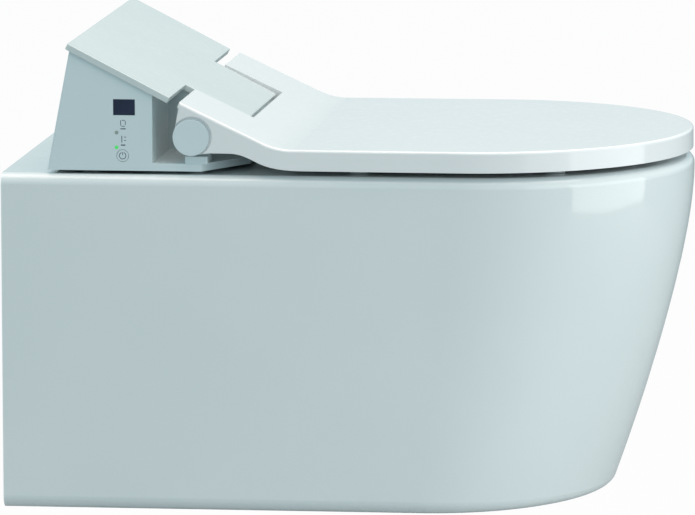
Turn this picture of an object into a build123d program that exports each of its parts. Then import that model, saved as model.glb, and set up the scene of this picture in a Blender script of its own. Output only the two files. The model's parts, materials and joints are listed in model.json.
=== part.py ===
from build123d import *
import math
import os

# A wall hung toilet with a shower seat on it, in millimetres.
# +Z is up and the front points along -Y. The wall is the plane Y = 0, and the origin is midway
# between the two stud holes in the back of the ceramic. X = 0 is the plane of symmetry.

# Ceramic body
WIDTH = 370.0
PROJECTION = 570.0
RIM_Z = 80.0
FOOT_Z = -206.0
FRONT_CENTRE_TOP = PROJECTION - 175.0
FRONT_CENTRE_FOOT = PROJECTION - 217.0
LEAN = 70.0
LEAN_POWER = 1.385
LEAN_START_Z = RIM_Z - 20.0
FOOT_ROUND = 11.0
RIM_ROUND = 9.0
WALL = 12.0
DECK = 12.0
BACK_WALL = 16.0

# Bowl, trap and passages
BOWL_HALF = WIDTH / 2 - 60.0
BOWL_BACK_Y = 218.0
BOWL_FRONT_Y = PROJECTION - 32.0
BOWL_LENGTH = BOWL_FRONT_Y - BOWL_BACK_Y
BOWL_CENTRE = (BOWL_FRONT_Y + BOWL_BACK_Y) / 2
BOWL_WALL = 9.0
SUMP_Z = FOOT_Z + 18.0
BOWL_MID_Z = RIM_Z - 120.0
BOWL_LOW_Z = SUMP_Z + 78.0
SUMP_HALF = 34.0
SUMP_LENGTH = 76.0
SUMP_CENTRE = 320.0
TRAP_R = 27.0
TRAP_WALL = 8.0
TRAP_START = 13.0
TRAP_TURN = 85.0
TRAP_DIP_Z = SUMP_Z + 30.0
TRAP_CREST_Z = -12.0
TRAP_CREST_Y = 178.0
TRAP_BEND_R = 37.0
TRAP_FALL = 62.0
NOTCH_HALF = 45.0
NOTCH_BACK = 170.0
NOTCH_FLOOR_Z = RIM_Z - 40.0

# Wall connections
STUD_SPACING = 180.0
STUD_HOLE_R = 6.5
SLEEVE_R = 10.5
SLEEVE_LENGTH = 40.0
SLEEVE_FLANGE_R = 15.0
SLEEVE_FLANGE = 3.0
WASTE_Z = -100.0
WASTE_SPIGOT_R = 51.0
WASTE_BORE_R = 43.0
WASTE_SPIGOT_LENGTH = 44.0
WASTE_SPIGOT_SETBACK = 5.0
WASTE_ACCESS_R = 64.0
INLET_Z = 35.0
INLET_SOCKET_R = 27.5
INLET_SOCKET_DEPTH = 42.0
INLET_SEAL_BORE_R = 22.5
INLET_LIP = 3.0
FLUSH_R = 18.0
FLUSH_END_Z = 8.0
WINDOW_IN = 92.0
WINDOW_OUT = 160.0
WINDOW_LOW = FOOT_Z + 26.0
WINDOW_HIGH = -40.0
WINDOW_ROUND = 10.0

# Seat fixing
DECK_HOLE_SPACING = 155.0
DECK_HOLE_R = 7.5
DECK_HOLE_Y = 100.0
PLATE_BACK = 76.0
PLATE_FRONT = 124.0
PLATE_BODY_HALF = DECK_HOLE_SPACING / 2 + 26.0
PLATE_FLANGE_HALF = PLATE_BODY_HALF + 7.5
PLATE_FLANGE = 3.0
PLATE_TAB = 26.0
BOLT_R = 4.0
BOLT_HEAD_R = 7.0
BUSH_LENGTH = 14.0
DECK_BOSS = 6.0
LIP_THICK = 3.0
SLIDE_GAP = 0.3

# Shower seat housing
UNIT_GAP = 2.9
UNIT_HALF = WIDTH / 2 - 5.5
UNIT_WALL = 3.0
UNIT_FOOT_R = 7.0
UNIT_FOOT_INSET = 29.5
STRIP = 6.4
ROOF_SLOPE = 27.4
ROOF_BACK_Y = 57.2
ROOF_BACK_Z = RIM_Z + 110.4
ROOF_THICK = 5.2
ROOF_HALF = UNIT_HALF + 1.9
ROOF_FRONT_Y = 143.8
TONGUE_HALF = 86.0
TONGUE_FRONT_Y = 198.0
UNIT_BACK_FOOT_Y = 39.0
UNIT_BACK_TOP_Y = 58.3
RECESS_BACK_Y = 128.6
STRIP_FRONT_Y = 170.0
STRIP_NOSE_HALF = 122.0
NOSE_HALF = 84.0
NOSE_FOOT_Y = 204.0
NOSE_SETBACK = 3.2

# Hinge
HINGE_Y = 162.0
HINGE_Z = RIM_Z + 32.0
SHAFT_R = 5.0
SHAFT_FIT = 0.08
BOSS_R = 15.0
CAP_R = 15.5
CAP_THICK = 2.4
CAP_PROUD = 0.3
CRESCENT_R = 16.9
CRESCENT_SHIFT = 1.2
LID_EAR = 10.0
SEAT_EAR = 8.4
SEAT_BOSS_R = 12.0
EAR_GAP = 0.4
POST_THICK = 12.8
POST_HALF_DEPTH = 9.7
POST_R = 12.0
POST_FORWARD = 3.7
DAMPER_R = 9.0
SHAFT_IN_DAMPER = 25.0
FOOT_CLEAR = 1.1

# Lid
LID_HALF = WIDTH / 2 + 2.5
LID_BACK_HALF = LID_HALF - 3.5
LID_TIP = PROJECTION - 1.0
LID_CENTRE = FRONT_CENTRE_TOP - 5.0
LID_TOP_Z = RIM_Z + 23.0
LID_BACK_Y = 152.5
LID_SLOPE = 25.4
LID_BACK_TOP_Z = RIM_Z + 62.1
LID_BEND_R = 60.0
LID_SKIN = 3.6
LID_SKIRT = 3.5
LID_SKIRT_Z = RIM_Z + 5.2
LID_ARM_EDGE_Z = RIM_Z + 19.2
LID_ARM_LENGTH = 32.0
LID_SWEEP = 62.0
LID_LIP = 2.1
LID_LIP_DROP = 4.4
LID_FLANGE = 10.0
LID_NOTCH_GAP = 4.5
LID_EDGE_ROUND = 2.2

# Seat ring
SEAT_INSET = 5.5
SEAT_TOP_GAP = 1.4
SEAT_THICK = 13.0
SEAT_ARM_THICK = 10.0
SEAT_ARM_BACK_Y = 182.0
SEAT_ARM_IN = 96.0
SEAT_BRIDGE_Y = 208.0
SEAT_HOLE_HALF = BOWL_HALF - 17.0
SEAT_HOLE_BACK_Y = BOWL_BACK_Y + 34.0
SEAT_HOLE_FRONT_Y = BOWL_FRONT_Y - 18.0
SEAT_HOLE_LENGTH = SEAT_HOLE_FRONT_Y - SEAT_HOLE_BACK_Y
SEAT_HOLE_CENTRE = (SEAT_HOLE_FRONT_Y + SEAT_HOLE_BACK_Y) / 2
SEAT_HOLE_ROUND = 4.0
PAD_R = 8.0
PAD_GAP = 0.2
PADS_BACK_Y = FRONT_CENTRE_TOP - 95.0
PADS_FRONT_Y = FRONT_CENTRE_TOP + 70.0
LID_PAD_INSET = 47.5
SEAT_PAD_INSET = 37.5

# Shower wand
WAND_ANGLE = 35.0
WAND_TIP_Y = 215.0
WAND_TIP_Z = RIM_Z - 18.5
WAND_R = 6.5
WAND_LENGTH = 128.0
WAND_HEAD = 22.0
WAND_HEAD_R = 7.0
GUIDE_WALL = 2.0
GUIDE_CLEAR = 0.4
GUIDE_LENGTH = 58.0

# Connections at the back of the housing
CABLE_X = UNIT_HALF - 29.5
WATER_X = CABLE_X - 20.0
SERVICE_Z = RIM_Z + 20.0
SERVICE_FACE_Y = 40.0
SERVICE_REACH = 9.0
INLET_FITTING_R = 5.0
INLET_FITTING_BORE_R = 3.2
GLAND_R = 4.5
GLAND_BORE_R = 2.6
SERVICE_FLANGE = 2.0
SERVICE_FLANGE_THICK = 2.5
SERVICE_FIT = 0.2

# Inside the housing
SCREW_R = 1.8
SCREW_HEAD_R = 3.4
SCREW_BOSS_R = 4.5
SCREW_BOSS_HEIGHT = 10.0
PART_FIT = 0.2
HEATER_LENGTH = 80.0
HEATER_DEPTH = 56.0
HEATER_HEIGHT = 42.0
HEATER_X = 64.0
PUMP_R = 15.0
PUMP_LENGTH = 44.0
PUMP_X = -78.0
WORKS_Y = 88.0
VALVE_WIDTH = 24.0
VALVE_DEPTH = 34.0
VALVE_HEIGHT = 22.0

# Side panel, on the -X side
WINDOW_BACK_Y = 95.6
WINDOW_FRONT_Y = 114.0
WINDOW_LOW_Z = RIM_Z + 50.0
WINDOW_TOP_Z = WINDOW_LOW_Z + 13.4
INLAY = 1.2
INLAY_FIT = 0.1
LED_R = 1.5
LED_Y = 98.3
LED_UPPER_Z = RIM_Z + 35.2
LED_LOWER_Z = RIM_Z + 22.6
KEY_Y = 103.4
KEY_Z = RIM_Z + 15.6
KEY_R = 4.9
KEY_GAP = 0.35
KEY_FLANGE_R = 5.9
KEY_FLANGE = 1.4
KEY_TRAVEL = 1.0
KEY_LENGTH = 7.2
SYMBOL_R = 3.1
SYMBOL_LINE = 0.6
SYMBOL_THICK = 0.15
BOARD_STANDOFF = 6.2
BOARD_THICK = 1.6
BOARD_LENGTH = 46.0

RIM_HALF = WIDTH / 2
BASE_Z = RIM_Z + UNIT_GAP
STRIP_TOP_Z = BASE_Z + STRIP
ROOF_TAN = math.tan(math.radians(ROOF_SLOPE))
ROOF_COS = math.cos(math.radians(ROOF_SLOPE))
ROOF_SIN = math.sin(math.radians(ROOF_SLOPE))
LID_TAN = math.tan(math.radians(LID_SLOPE))
WAND_COS = math.cos(math.radians(WAND_ANGLE))
WAND_SIN = math.sin(math.radians(WAND_ANGLE))
UNIT_INNER = UNIT_HALF - UNIT_WALL
BOARD_X = UNIT_INNER - BOARD_STANDOFF
CAP_SEAT_X = LID_BACK_HALF + CAP_PROUD - CAP_THICK
LID_EAR_X = LID_BACK_HALF - LID_EAR
SEAT_EAR_OUT_X = LID_EAR_X - EAR_GAP
SEAT_EAR_X = SEAT_EAR_OUT_X - SEAT_EAR
POST_OUT_X = SEAT_EAR_X - EAR_GAP
POST_X = POST_OUT_X - POST_THICK
UNDER_LID_Z = LID_SKIRT_Z - 25.0
OVER_LID_Z = LID_BACK_TOP_Z + 20.0
OVER = 1.0


def box(x0, x1, y0, y1, z0, z1):
    """A block between two corners."""
    centre = Pos((x0 + x1) / 2, (y0 + y1) / 2, (z0 + z1) / 2)
    return centre * Box(abs(x1 - x0), abs(y1 - y0), abs(z1 - z0))


def rod_x(r, x0, x1, y, z):
    """A cylinder along X."""
    return Pos((x0 + x1) / 2, y, z) * Rot(0, 90, 0) * Cylinder(r, abs(x1 - x0))


def rod_y(r, y0, y1, x, z):
    """A cylinder along Y."""
    return Pos(x, (y0 + y1) / 2, z) * Rot(90, 0, 0) * Cylinder(r, abs(y1 - y0))


def rod_z(r, z0, z1, x, y):
    """A cylinder along Z."""
    return Pos(x, y, (z0 + z1) / 2) * Cylinder(r, abs(z1 - z0))


def both(shape):
    """A piece and its mirror image across X = 0."""
    return [shape, mirror(shape, Plane.YZ)]


def prism_x(points, x0, x1):
    """A polygon of (y, z) points pushed along X."""
    corners = [(x0, y, z) for y, z in points]
    outline = Polyline(*corners, close=True)
    return extrude(make_face(outline.edges()), amount=x1 - x0, dir=(1, 0, 0))


def prism_z(points, z0, z1):
    """A polygon of (x, y) points pushed along Z."""
    corners = [(x, y, z0) for x, y in points]
    outline = Polyline(*corners, close=True)
    return extrude(make_face(outline.edges()), amount=z1 - z0, dir=(0, 0, 1))


def d_outline(half, back, centre, tip, z, back_half=None):
    """Straight or slightly drawn-in sides, closed by half an ellipse at the front."""
    back_half = half if back_half is None else back_half
    front = EllipticalCenterArc((0, -centre), half, tip - centre, 180, arc_size=180)
    if abs(half - back_half) < 1e-6:
        left = Line((-half, -centre), (-back_half, -back))
        right = Line((half, -centre), (back_half, -back))
    else:
        run = centre - back
        sag = half - back_half
        big = (run * run + sag * sag) / (2 * abs(sag))
        mid = half - math.copysign(big - math.sqrt(big * big - run * run / 4), sag)
        mid_y = -(centre + back) / 2
        left = ThreePointArc((-half, -centre), (-mid, mid_y), (-back_half, -back))
        right = ThreePointArc((half, -centre), (mid, mid_y), (back_half, -back))
    rear = Line((-back_half, -back), (back_half, -back))
    edges = front.edges() + left.edges() + right.edges() + rear.edges()
    return Pos(0, 0, z) * make_face(edges)


def oval(half, length, centre, z):
    """A full ellipse in a level plane."""
    return Pos(0, -centre, z) * make_face(Ellipse(half, length / 2).edges())


def lean(z):
    """How far the front has drawn back towards the wall at a height."""
    drop = max(0.0, LEAN_START_Z - z) / (LEAN_START_Z - FOOT_Z)
    return LEAN * drop ** LEAN_POWER


def front_centre(z):
    """Where the straight sides end at a height."""
    drop = max(0.0, LEAN_START_Z - z) / (LEAN_START_Z - FOOT_Z)
    return FRONT_CENTRE_TOP + (FRONT_CENTRE_FOOT - FRONT_CENTRE_TOP) * drop


def body_loft(inset, back, low, high):
    """The ceramic's outer form, or the same form drawn in by a wall."""
    levels = [0.0, 0.16, 0.36, 0.58, 0.8, 1.0]
    sections = []
    for part in levels:
        z = low + (high - low) * part
        tip = PROJECTION - lean(z) - inset
        sections.append(d_outline(RIM_HALF - inset, back, front_centre(z), tip, z))
    return loft(sections)


def bowl_loft(grow, top):
    """The bowl's inside, or the same form grown by its wall."""
    shape = [
        (top, BOWL_HALF, BOWL_LENGTH, BOWL_CENTRE),
        (NOTCH_FLOOR_Z - 20, BOWL_HALF - 6, BOWL_LENGTH - 16, BOWL_CENTRE - 2),
        (BOWL_MID_Z, BOWL_HALF - 35, BOWL_LENGTH - 90, BOWL_CENTRE - 14),
        (BOWL_LOW_Z, BOWL_HALF - 72, BOWL_LENGTH - 190, BOWL_CENTRE - 40),
        (SUMP_Z - grow, SUMP_HALF, SUMP_LENGTH, SUMP_CENTRE),
    ]
    return loft([oval(h + grow, s + 2 * grow, c, z) for z, h, s, c in shape])


def trap_path():
    """The run of the waste passage, from the sump over the crest to the spigot."""
    return FilletPolyline(
        (0, -SUMP_CENTRE + TRAP_START, TRAP_DIP_Z),
        (0, -SUMP_CENTRE + TRAP_TURN, TRAP_DIP_Z),
        (0, -TRAP_CREST_Y, TRAP_CREST_Z),
        (0, -TRAP_CREST_Y + TRAP_FALL, WASTE_Z),
        (0, -WASTE_SPIGOT_SETBACK - WASTE_SPIGOT_LENGTH + 1, WASTE_Z),
        radius=TRAP_BEND_R,
    )


def tube_along(path, r):
    """A round rod swept along a path."""
    start = Plane(origin=path @ 0, z_dir=path % 0)
    return sweep(start * Circle(r), path=path)


def flush_rod(r, y0):
    """The flush passage, sloping down from the inlet socket to the bowl."""
    run = Line((0, -y0, INLET_Z), (0, -(BOWL_CENTRE - BOWL_LENGTH / 2) - 20, FLUSH_END_Z))
    return tube_along(run, r)


def make_ceramic():
    """The fired body: skirt, deck, rim, bowl, trap, spigot, inlet socket and stud tubes."""
    outer = body_loft(0, -OVER, FOOT_Z, RIM_Z)
    outer -= box(-WIDTH, WIDTH, 0, 2 * OVER, FOOT_Z - OVER, RIM_Z + OVER)
    foot = outer.edges().filter_by(lambda e: abs(e.center().Z - FOOT_Z) < 0.5 and e.center().Y < -1)
    outer = fillet(foot, FOOT_ROUND)
    rim = outer.edges().filter_by(lambda e: abs(e.center().Z - RIM_Z) < 0.5 and e.center().Y < -1)
    outer = fillet(rim, RIM_ROUND)
    hollow = body_loft(WALL, BACK_WALL, FOOT_Z + WALL, RIM_Z - DECK)
    solid_bowl = bowl_loft(BOWL_WALL, RIM_Z)
    pocket = box(-NOTCH_HALF - BOWL_WALL, NOTCH_HALF + BOWL_WALL,
                 -BOWL_CENTRE, -NOTCH_BACK + BOWL_WALL, NOTCH_FLOOR_Z - BOWL_WALL, RIM_Z)
    path = trap_path()
    trap = tube_along(path, TRAP_R + TRAP_WALL)
    spigot_end = -WASTE_SPIGOT_SETBACK
    spigot_root = spigot_end - WASTE_SPIGOT_LENGTH
    collar = rod_y(WASTE_SPIGOT_R, spigot_root - 26, spigot_end, 0, WASTE_Z)
    socket_r = INLET_SOCKET_R + TRAP_WALL
    socket = rod_y(socket_r, -INLET_SOCKET_DEPTH - 22, -1, 0, INLET_Z)
    flush = flush_rod(FLUSH_R + TRAP_WALL, INLET_SOCKET_DEPTH + 10)
    keep = solid_bowl + pocket + trap + collar + socket + flush
    for x in (-STUD_SPACING / 2, STUD_SPACING / 2):
        keep += rod_y(SLEEVE_R + 9, -SLEEVE_LENGTH, -1, x, 0)
        keep += rod_z(DECK_HOLE_R + 8, RIM_Z - DECK - DECK_BOSS, RIM_Z - 1,
                      math.copysign(DECK_HOLE_SPACING / 2, x), -DECK_HOLE_Y)
    passages = bowl_loft(0, RIM_Z + 1) + tube_along(path, TRAP_R)
    passages += box(-NOTCH_HALF, NOTCH_HALF, -BOWL_CENTRE, -NOTCH_BACK, NOTCH_FLOOR_Z, RIM_Z + 1)
    passages += rod_y(WASTE_BORE_R, spigot_root - 10, spigot_end + 1, 0, WASTE_Z)
    passages += flush_rod(FLUSH_R, INLET_SOCKET_DEPTH - 4)
    passages += rod_y(INLET_SOCKET_R, -INLET_SOCKET_DEPTH, 1, 0, INLET_Z)
    body = outer - (hollow - keep) - passages
    access = rod_y(WASTE_ACCESS_R, -BACK_WALL - 1, 1, 0, WASTE_Z)
    body -= access - rod_y(WASTE_SPIGOT_R, -BACK_WALL - 2, spigot_end, 0, WASTE_Z)
    for side in (-1, 1):
        x = side * STUD_SPACING / 2
        body -= rod_y(SLEEVE_R + INLAY_FIT, -SLEEVE_LENGTH - 1, 1, x, 0)
        body -= rod_y(SLEEVE_FLANGE_R + INLAY_FIT, -SLEEVE_FLANGE, 1, x, 0)
        body -= rod_z(DECK_HOLE_R, 0, RIM_Z + 1, side * DECK_HOLE_SPACING / 2, -DECK_HOLE_Y)
        window = box(WINDOW_IN, WINDOW_OUT, -BACK_WALL - 1, 1, WINDOW_LOW, WINDOW_HIGH)
        window = fillet(window.edges().filter_by(Axis.Y), WINDOW_ROUND)
        body -= window if side > 0 else mirror(window, Plane.YZ)
    return body


def make_stud_sleeves():
    """Plastic sleeves in the two stud holes."""
    x = STUD_SPACING / 2
    sleeve = rod_y(SLEEVE_R, -SLEEVE_LENGTH, 0, x, 0)
    sleeve += rod_y(SLEEVE_FLANGE_R, -SLEEVE_FLANGE, 0, x, 0)
    sleeve -= rod_y(STUD_HOLE_R, -SLEEVE_LENGTH - 1, 1, x, 0)
    return both(sleeve)


def make_inlet_seal():
    """The rubber sleeve that a flush pipe is pushed into."""
    seal = rod_y(INLET_SOCKET_R - INLAY_FIT, -INLET_SOCKET_DEPTH + 6, 0, 0, INLET_Z)
    bead = Pos(0, -INLET_LIP, INLET_Z) * Rot(90, 0, 0) * Torus(INLET_SOCKET_R - 1.0, 0.8)
    seal -= bead
    return [seal - rod_y(INLET_SEAL_BORE_R, -INLET_SOCKET_DEPTH, 1, 0, INLET_Z)]


def plate_levels():
    """Heights of the fixing plate: foot, underside of its flange, top."""
    mid = BASE_Z + LIP_THICK + SLIDE_GAP
    return RIM_Z, mid, mid + PLATE_FLANGE


def tunnel_levels():
    """Heights of the tunnel over the fixing plate: top of its lips, inside of its roof."""
    low, mid, top = plate_levels()
    return mid - SLIDE_GAP, top + SLIDE_GAP


def works_z():
    """Height of the tunnel's roof, on which the heater and the pump stand."""
    return tunnel_levels()[1] + LIP_THICK


def make_mounting_plate():
    """The plate bolted to the deck; the shower seat slides onto its flanges."""
    low, mid, top = plate_levels()
    plate = box(-PLATE_BODY_HALF, PLATE_BODY_HALF, -PLATE_FRONT, -PLATE_BACK, low, mid)
    plate += box(-PLATE_BODY_HALF, PLATE_BODY_HALF, -PLATE_FRONT, -PLATE_BACK, mid, top)
    plate += box(-PLATE_FLANGE_HALF, PLATE_FLANGE_HALF, -PLATE_FRONT, -PLATE_FRONT + PLATE_TAB, mid, top)
    plate -= box(-40, 40, -PLATE_FRONT + 10, -PLATE_BACK - 10, low - 1, top + 1)
    for side in (-1, 1):
        x = side * DECK_HOLE_SPACING / 2
        plate -= rod_z(BOLT_R + 0.4, low - 1, top + 1, x, -DECK_HOLE_Y)
        plate -= rod_z(BOLT_HEAD_R + 0.4, mid - 1.6, top + 1, x, -DECK_HOLE_Y)
    return [plate]


def make_plate_bolts():
    """Bolts that hold the fixing plate down."""
    low, mid, top = plate_levels()
    x = DECK_HOLE_SPACING / 2
    bolt = rod_z(BOLT_R, RIM_Z - DECK - DECK_BOSS - BUSH_LENGTH - 8, mid - 1.6, x, -DECK_HOLE_Y)
    head = rod_z(BOLT_HEAD_R, mid - 1.6, top - 0.2, x, -DECK_HOLE_Y)
    hexagon = Pos(x, -DECK_HOLE_Y, top - 1.8) * extrude(RegularPolygon(3.4, 6), amount=3)
    return both(bolt + (head - hexagon))


def make_plate_bushes():
    """Rubber bushes drawn up under the deck by the bolts."""
    x = DECK_HOLE_SPACING / 2
    low = RIM_Z - DECK - DECK_BOSS
    bush = rod_z(DECK_HOLE_R - INLAY_FIT, low, RIM_Z - 1, x, -DECK_HOLE_Y)
    bush += Pos(x, -DECK_HOLE_Y, low - BUSH_LENGTH / 2) * Cone(8.5, 12.5, BUSH_LENGTH)
    return both(bush - rod_z(BOLT_R, low - BUSH_LENGTH - 1, RIM_Z + 1, x, -DECK_HOLE_Y))


def make_plate_nuts():
    """Nuts at the foot of the rubber bushes."""
    x = DECK_HOLE_SPACING / 2
    top = RIM_Z - DECK - DECK_BOSS - BUSH_LENGTH
    nut = Pos(x, -DECK_HOLE_Y, top - 6) * extrude(RegularPolygon(8.2, 6), amount=6)
    nut += rod_z(9.0, top - 1.2, top, x, -DECK_HOLE_Y)
    return both(nut - rod_z(BOLT_R, top - 7, top + 1, x, -DECK_HOLE_Y))


def roof_z(y):
    """Height of the roof plate's top at a distance from the wall."""
    return ROOF_BACK_Z - (y - ROOF_BACK_Y) * ROOF_TAN


def under_roof_z(y):
    """Height of the roof plate's underside."""
    return roof_z(y) - ROOF_THICK / ROOF_COS


def make_roof_plate():
    """The sloping cover plate with its tongue between the arms of the lid."""
    def at(y):
        return (y - ROOF_BACK_Y) / ROOF_COS
    front = at(ROOF_FRONT_Y)
    tip = at(TONGUE_FRONT_Y)
    points = [(-ROOF_HALF, 0), (-ROOF_HALF, -front), (-TONGUE_HALF, -front), (-TONGUE_HALF, -tip),
              (TONGUE_HALF, -tip), (TONGUE_HALF, -front), (ROOF_HALF, -front), (ROOF_HALF, 0)]
    plate = prism_z(points, -ROOF_THICK, 0)
    outer = plate.edges().filter_by(Axis.Z)
    plate = fillet(outer.sort_by(Axis.Y)[-2:], 3.0)
    tips = plate.edges().filter_by(Axis.Z).sort_by(Axis.Y)[:2]
    plate = fillet(tips, 2.0)
    top = plate.faces().sort_by(Axis.Z)[-1]
    plate = fillet(top.edges(), 0.8)
    plate = Pos(0, -ROOF_BACK_Y, ROOF_BACK_Z) * Rot(ROOF_SLOPE, 0, 0) * plate
    return [plate]


def unit_profile(wall):
    """Side outline of the wedge, or of its inside when drawn in by a wall."""
    back_top = UNIT_BACK_TOP_Y + wall
    tilt = (UNIT_BACK_TOP_Y - UNIT_BACK_FOOT_Y) / (under_roof_z(UNIT_BACK_TOP_Y) - BASE_Z)
    foot = BASE_Z - OVER if wall > 0 else BASE_Z
    back_foot = back_top - tilt * (under_roof_z(back_top) - foot)
    front = RECESS_BACK_Y - wall
    return [(-back_foot, foot), (-front, foot), (-front, under_roof_z(front)),
            (-back_top, under_roof_z(back_top))]


def strip_outline(inset):
    """Plan of the floor strip round the hinges, with its slanted front corners."""
    side = UNIT_HALF - inset
    slant = (UNIT_HALF - STRIP_NOSE_HALF)
    front = NOSE_FOOT_Y - inset
    return [(-side, -RECESS_BACK_Y + 1), (-side, -STRIP_FRONT_Y + inset * 0.5),
            (-side + slant, -front), (side - slant, -front),
            (side, -STRIP_FRONT_Y + inset * 0.5), (side, -RECESS_BACK_Y + 1)]


def nose_profile(wall):
    """Side outline of the nose under the tongue."""
    top_y = TONGUE_FRONT_Y + ROOF_THICK * ROOF_SIN - NOSE_SETBACK - wall
    foot_y = NOSE_FOOT_Y - wall
    low = STRIP_TOP_Z - 0.5 if wall == 0 else BASE_Z - OVER
    rear = RECESS_BACK_Y - OVER if wall == 0 else RECESS_BACK_Y - UNIT_WALL - OVER
    return [(-rear, low), (-foot_y, low), (-top_y, under_roof_z(top_y)), (-rear, under_roof_z(rear))]


def wand_point(s, lift=0.0):
    """A point on the wand's line, s behind the tip and lift square to it."""
    y = -WAND_TIP_Y + s * WAND_COS - lift * WAND_SIN
    z = WAND_TIP_Z + s * WAND_SIN + lift * WAND_COS
    return y, z


def wand_rod(r, s0, s1):
    """A rod along the wand's line, between two distances behind the tip."""
    y0, z0 = wand_point(s0)
    y1, z1 = wand_point(s1)
    start = Plane(origin=(0, y0, z0), z_dir=(0, y1 - y0, z1 - z0))
    return extrude(start * Circle(r), amount=s1 - s0)


def screw_places():
    """Where the housing's screws stand: by the side walls, the recess wall and the nose."""
    rows = [(UNIT_INNER - SCREW_BOSS_R + 0.6, UNIT_BACK_FOOT_Y + 14),
            (UNIT_INNER - 36, RECESS_BACK_Y - UNIT_WALL - SCREW_BOSS_R + 0.6),
            (NOSE_HALF - 24, NOSE_FOOT_Y - UNIT_WALL - 7)]
    return [(side * x, y) for x, y in rows for side in (-1, 1)]


def make_housing_shell():
    """Side walls, back, nose and floor strip, in one moulding."""
    shell = prism_x(unit_profile(0), -UNIT_HALF, UNIT_HALF)
    shell = fillet(shell.edges().filter_by(
        lambda e: abs(e.center().X) > UNIT_HALF - 1 and e.center().Y > -UNIT_BACK_TOP_Y), 1.5)
    shell -= prism_x(unit_profile(UNIT_WALL), -UNIT_INNER, UNIT_INNER)
    strip = prism_z(strip_outline(0), BASE_Z, STRIP_TOP_Z)
    nose = prism_x(nose_profile(0), -NOSE_HALF, NOSE_HALF)
    shell += strip + nose
    shell -= prism_x(nose_profile(UNIT_WALL), -NOSE_HALF + UNIT_WALL, NOSE_HALF - UNIT_WALL)
    passage_top = under_roof_z(RECESS_BACK_Y + OVER) - 2
    shell -= box(-NOSE_HALF + UNIT_WALL, NOSE_HALF - UNIT_WALL, -RECESS_BACK_Y - OVER,
                 -RECESS_BACK_Y + UNIT_WALL + OVER, BASE_Z - OVER, passage_top)
    shell -= wand_rod(WAND_HEAD_R + GUIDE_WALL + 1.2, -40, GUIDE_LENGTH + 10)
    for side in (-1, 1):
        shell -= rod_x(DAMPER_R + INLAY_FIT, side * (NOSE_HALF - UNIT_WALL - 1),
                       side * (NOSE_HALF + 1), -HINGE_Y, HINGE_Z)
    shell -= panel_cuts()
    for x, r in ((WATER_X, INLET_FITTING_R), (CABLE_X, GLAND_R)):
        boss_y = -SERVICE_FACE_Y - UNIT_WALL - 3
        shell += rod_y(r + SERVICE_FLANGE + 1, boss_y, -SERVICE_FACE_Y, x, SERVICE_Z)
        shell -= rod_y(r + SERVICE_FIT, -SERVICE_FACE_Y - 20, -SERVICE_FACE_Y + OVER, x, SERVICE_Z)
    for x, y in screw_places():
        shell += rod_z(SCREW_BOSS_R, STRIP_TOP_Z, STRIP_TOP_Z + SCREW_BOSS_HEIGHT, x, -y)
        shell -= rod_z(SCREW_R, STRIP_TOP_Z - OVER, STRIP_TOP_Z + SCREW_BOSS_HEIGHT - 1.5, x, -y)
    return [shell]


def panel_cuts():
    """Pocket of the dark window and holes of the lights and the key."""
    face = -UNIT_HALF
    f = INLAY_FIT
    cuts = box(face - 1, face + INLAY, -WINDOW_FRONT_Y - f, -WINDOW_BACK_Y + f,
               WINDOW_LOW_Z - f, WINDOW_TOP_Z + f)
    for z in (LED_UPPER_Z, LED_LOWER_Z):
        cuts += rod_x(LED_R + f, face - 1, face + UNIT_WALL + 1, -LED_Y, z)
    return cuts + rod_x(KEY_R + KEY_GAP, face - 1, face + UNIT_WALL + 1, -KEY_Y, KEY_Z)


def make_receiver_window():
    """The dark window over the remote control's receiver."""
    face = -UNIT_HALF
    window = box(face, face + INLAY, -WINDOW_FRONT_Y, -WINDOW_BACK_Y, WINDOW_LOW_Z, WINDOW_TOP_Z)
    return [window]


def make_led(z):
    """A small light pipe through the side panel, standing on the board."""
    return [rod_x(LED_R, -UNIT_HALF, -BOARD_X, -LED_Y, z)]


def make_control_board():
    """The circuit board behind the side panel, with a key switch and a receiver on it."""
    front = RECESS_BACK_Y - UNIT_WALL - 2
    top = under_roof_z(front) - 3
    board = box(-BOARD_X, -BOARD_X + BOARD_THICK, -front, -front + BOARD_LENGTH, STRIP_TOP_Z, top)
    switch_x = -UNIT_HALF + KEY_LENGTH + KEY_TRAVEL + 0.3
    board += box(switch_x, -BOARD_X + 0.1, -KEY_Y - 2, -KEY_Y + 2, KEY_Z - 2, KEY_Z + 2)
    board += box(-BOARD_X - 4, -BOARD_X + 0.1, -WINDOW_FRONT_Y + 5, -WINDOW_BACK_Y - 5,
                 WINDOW_LOW_Z + 3, WINDOW_TOP_Z - 3)
    chip_x = -BOARD_X + BOARD_THICK
    board += box(chip_x - 0.1, chip_x + 3, -KEY_Y - 10, -KEY_Y + 10, LED_UPPER_Z - 4, LED_UPPER_Z + 8)
    return [board]


def make_power_key():
    """The round key at the foot of the side panel."""
    face = -UNIT_HALF
    inner = face + UNIT_WALL + 0.1
    key = rod_x(KEY_R, face, face + KEY_LENGTH, -KEY_Y, KEY_Z)
    key += rod_x(KEY_FLANGE_R, inner, inner + KEY_FLANGE, -KEY_Y, KEY_Z)
    return [key - symbol_shape(0.05)]


def symbol_shape(grow):
    """A broken ring with a short bar, let into the key's face."""
    face = -UNIT_HALF
    depth = SYMBOL_THICK + grow
    ring = rod_x(SYMBOL_R, face, face + depth, -KEY_Y, KEY_Z)
    ring -= rod_x(SYMBOL_R - SYMBOL_LINE, face - 1, face + 1, -KEY_Y, KEY_Z)
    gap = SYMBOL_LINE * 1.6
    ring -= box(face - 1, face + 1, -KEY_Y - gap, -KEY_Y + gap, KEY_Z + 1, KEY_Z + SYMBOL_R + 1)
    bar = box(face, face + depth, -KEY_Y - SYMBOL_LINE / 2, -KEY_Y + SYMBOL_LINE / 2,
              KEY_Z + 0.4, KEY_Z + SYMBOL_R)
    return ring + bar


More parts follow.
